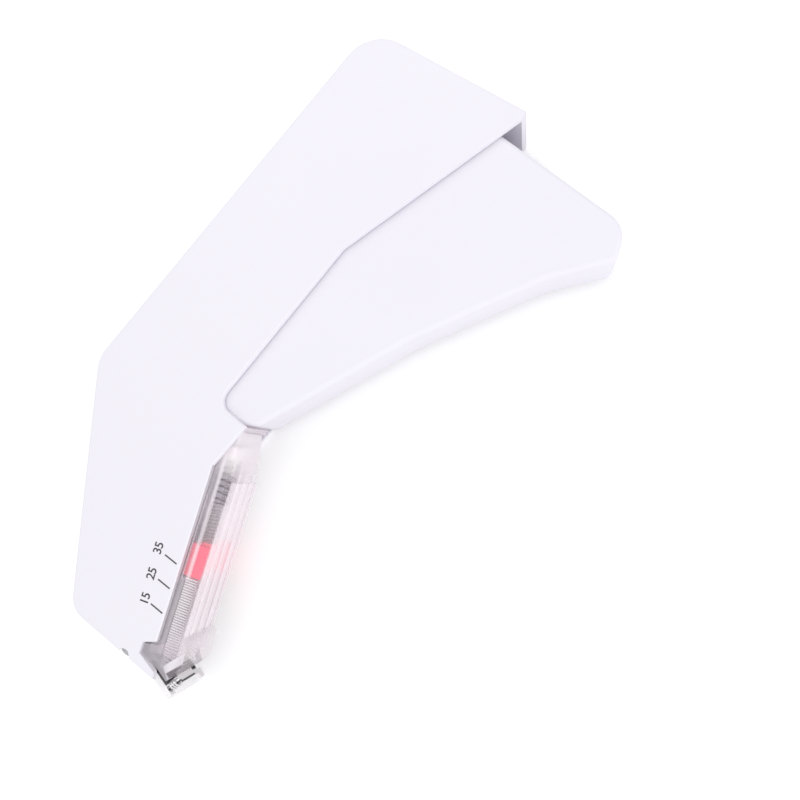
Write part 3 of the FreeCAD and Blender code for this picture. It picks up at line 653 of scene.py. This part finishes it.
tab_size = (0.0040, 0.00145, 0.0136)
tab_middle = (-0.0169, -0.01757, middle_z)
tab_wall, tab_hollow, tab_round = 0.0004, 0.0006, 0.00015
shape = bmesh.new()
tab = bmesh.ops.create_cube(shape, size=1.0)["verts"]
bmesh.ops.scale(shape, verts=tab, vec=tab_size)
front = [face for face in shape.faces if face.normal.x > 0.9]
bmesh.ops.inset_region(shape, faces=front, thickness=tab_wall)
bmesh.ops.translate(shape, verts=front[0].verts, vec=(-tab_hollow, 0, 0))
bmesh.ops.bevel(shape, geom=list(shape.edges), offset=tab_round, segments=2, profile=0.5,
                affect="EDGES", material=-1)
bmesh.ops.translate(shape, verts=shape.verts, vec=tab_middle)
finished_piece("magazine_tab", shape, clear_cover, "case")

# Follower: the bright red moulding that slides down the magazine on top of the stack, so that its
# place beside the scale shows how many staples are left.

follower_red = moulded("follower_red", (1.0, 0.16, 0.24), (0.96, 0.13, 0.21), 0.03, 4200.0,
                       (0.20, 0.32))
finish_node("follower", follower_red)

# Springs: round wire coils. The follower's spring is wound closer at its lower end.

spring_steel = steel("spring_steel", (0.55, 0.54, 0.56), (5000.0, 5000.0, 5000.0), (0.24, 0.36), 0.03)
coil_steps = 14
follower_wire, follower_radius, follower_keep = 0.00045, 0.0019, 0.60
low_turns, low_pitch, high_turns = 11, 0.00084, 7
end_gap = 0.0003
return_wire, return_radius, return_keep = 0.0006, 0.0021, 0.53
return_turns, return_pitch = 6, 0.00171
return_back, return_above = 0.03895, 0.0235


def coil_piece(name, wire, radius, turns, start, along):
    """A helix of wire from start; turns lists (number of turns, rise of each) along the axis."""
    around = along.orthogonal().normalized()
    other = along.cross(around)
    rise, points = 0.0, []
    for count, pitch in turns:
        for step in range(count * coil_steps):
            angle = 2 * math.pi * step / coil_steps
            points.append(start + along * rise + radius * (around * math.cos(angle)
                                                           + other * math.sin(angle)))
            rise += pitch / coil_steps
    path = bpy.data.curves.new(name + "_path", "CURVE")
    path.dimensions = "3D"
    path.bevel_depth = wire / 2
    path.bevel_resolution = 2
    path.use_fill_caps = True
    run = path.splines.new("POLY")
    run.points.add(len(points) - 1)
    for spot, point in zip(run.points, points):
        spot.co = (*point, 1.0)
    guide = bpy.data.objects.new(name + "_path", path)
    scene.collection.objects.link(guide)
    bpy.context.view_layer.update()
    mesh = bpy.data.meshes.new_from_object(guide)
    bpy.data.objects.remove(guide)
    for face in mesh.polygons:
        face.use_smooth = True
    piece = place_piece(name, mesh, spring_steel, "case")
    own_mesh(piece)
    return piece


follower_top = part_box("follower")[1][1]
free_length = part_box("follower_spring")[1][1] - follower_top - 2 * end_gap
high_pitch = (free_length - low_turns * low_pitch) / high_turns
follower_start = Vector((-0.0185, follower_top + end_gap, middle_z))
follower_coil = coil_piece("follower_coil", follower_wire, follower_radius,
                           ((low_turns, low_pitch), (high_turns, high_pitch)), follower_start,
                           Vector(upward))
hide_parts("follower_spring")

return_start = crown - ram_path * return_back + ram_rise * return_above
return_coil = coil_piece("return_coil", return_wire, return_radius,
                         ((return_turns, return_pitch),), return_start, ram_path)
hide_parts("return_spring")

# Printed scale: three ticks and the staple counts 15, 25 and 35, in dark grey pad-print ink on
# the near shell beside the magazine. It is a plain scale, and the rest of the case is bare.

ink_depth = 0.00002
ink_middle_z = case_top + ink_depth / 2
tick_length, tick_width = 0.0036, 0.00034
tick_slope = math.radians(-18.0)
number_height, number_swell, number_spread = 0.0030, 0.00004, 0.92
tick_starts = ((-0.0239, -0.0504), (-0.0237, -0.0562), (-0.0236, -0.0620))
number_middles = (
    ("35", (-0.02591, -0.04944)),
    ("25", (-0.02561, -0.05546)),
    ("15", (-0.02528, -0.06132)),
)

ink, nodes, links = new_material("scale_ink")
skin = nodes["Principled BSDF"]
skin.inputs["Roughness"].default_value = 0.55
place = nodes.new("ShaderNodeTexCoord")
speckle = nodes.new("ShaderNodeTexNoise")
speckle.inputs["Scale"].default_value = 4000.0
links.new(place.outputs["Object"], speckle.inputs["Vector"])
links.new(two_shades(nodes, links, speckle.outputs["Fac"], (0.045, 0.045, 0.05),
                     (0.085, 0.083, 0.09)), skin.inputs["Base Color"])

shape = bmesh.new()
for start_x, start_y in tick_starts:
    bar = bmesh.ops.create_cube(shape, size=1.0)["verts"]
    bmesh.ops.scale(shape, verts=bar, vec=(tick_length, tick_width, ink_depth))
    bmesh.ops.translate(shape, verts=bar, vec=(tick_length / 2, 0, 0))
    bmesh.ops.rotate(shape, verts=bar, cent=(0, 0, 0), matrix=Matrix.Rotation(tick_slope, 3, "Z"))
    bmesh.ops.translate(shape, verts=bar, vec=(start_x, start_y, ink_middle_z))
finished_piece("scale_ticks", shape, ink, "case")


def printed(number, middle):
    """A flat number that reads up the magazine, made a mesh before it is put in place."""
    name = "scale_" + number
    letters = bpy.data.curves.new(name, "FONT")
    letters.body = number
    letters.size = number_height
    letters.offset = number_swell
    letters.align_x = "CENTER"
    letters.align_y = "CENTER"
    letters.extrude = ink_depth / 2
    letters.space_character = number_spread
    outline = bpy.data.objects.new(name + "_outline", letters)
    scene.collection.objects.link(outline)
    bpy.context.view_layer.update()
    mesh = bpy.data.meshes.new_from_object(outline)
    bpy.data.objects.remove(outline)
    mesh.transform(Matrix.Translation((*middle, ink_middle_z))
                   @ Matrix.Rotation(math.radians(90.0), 4, "Z"))
    place_piece(name, mesh, ink, "case")


for number, middle in number_middles:
    printed(number, middle)
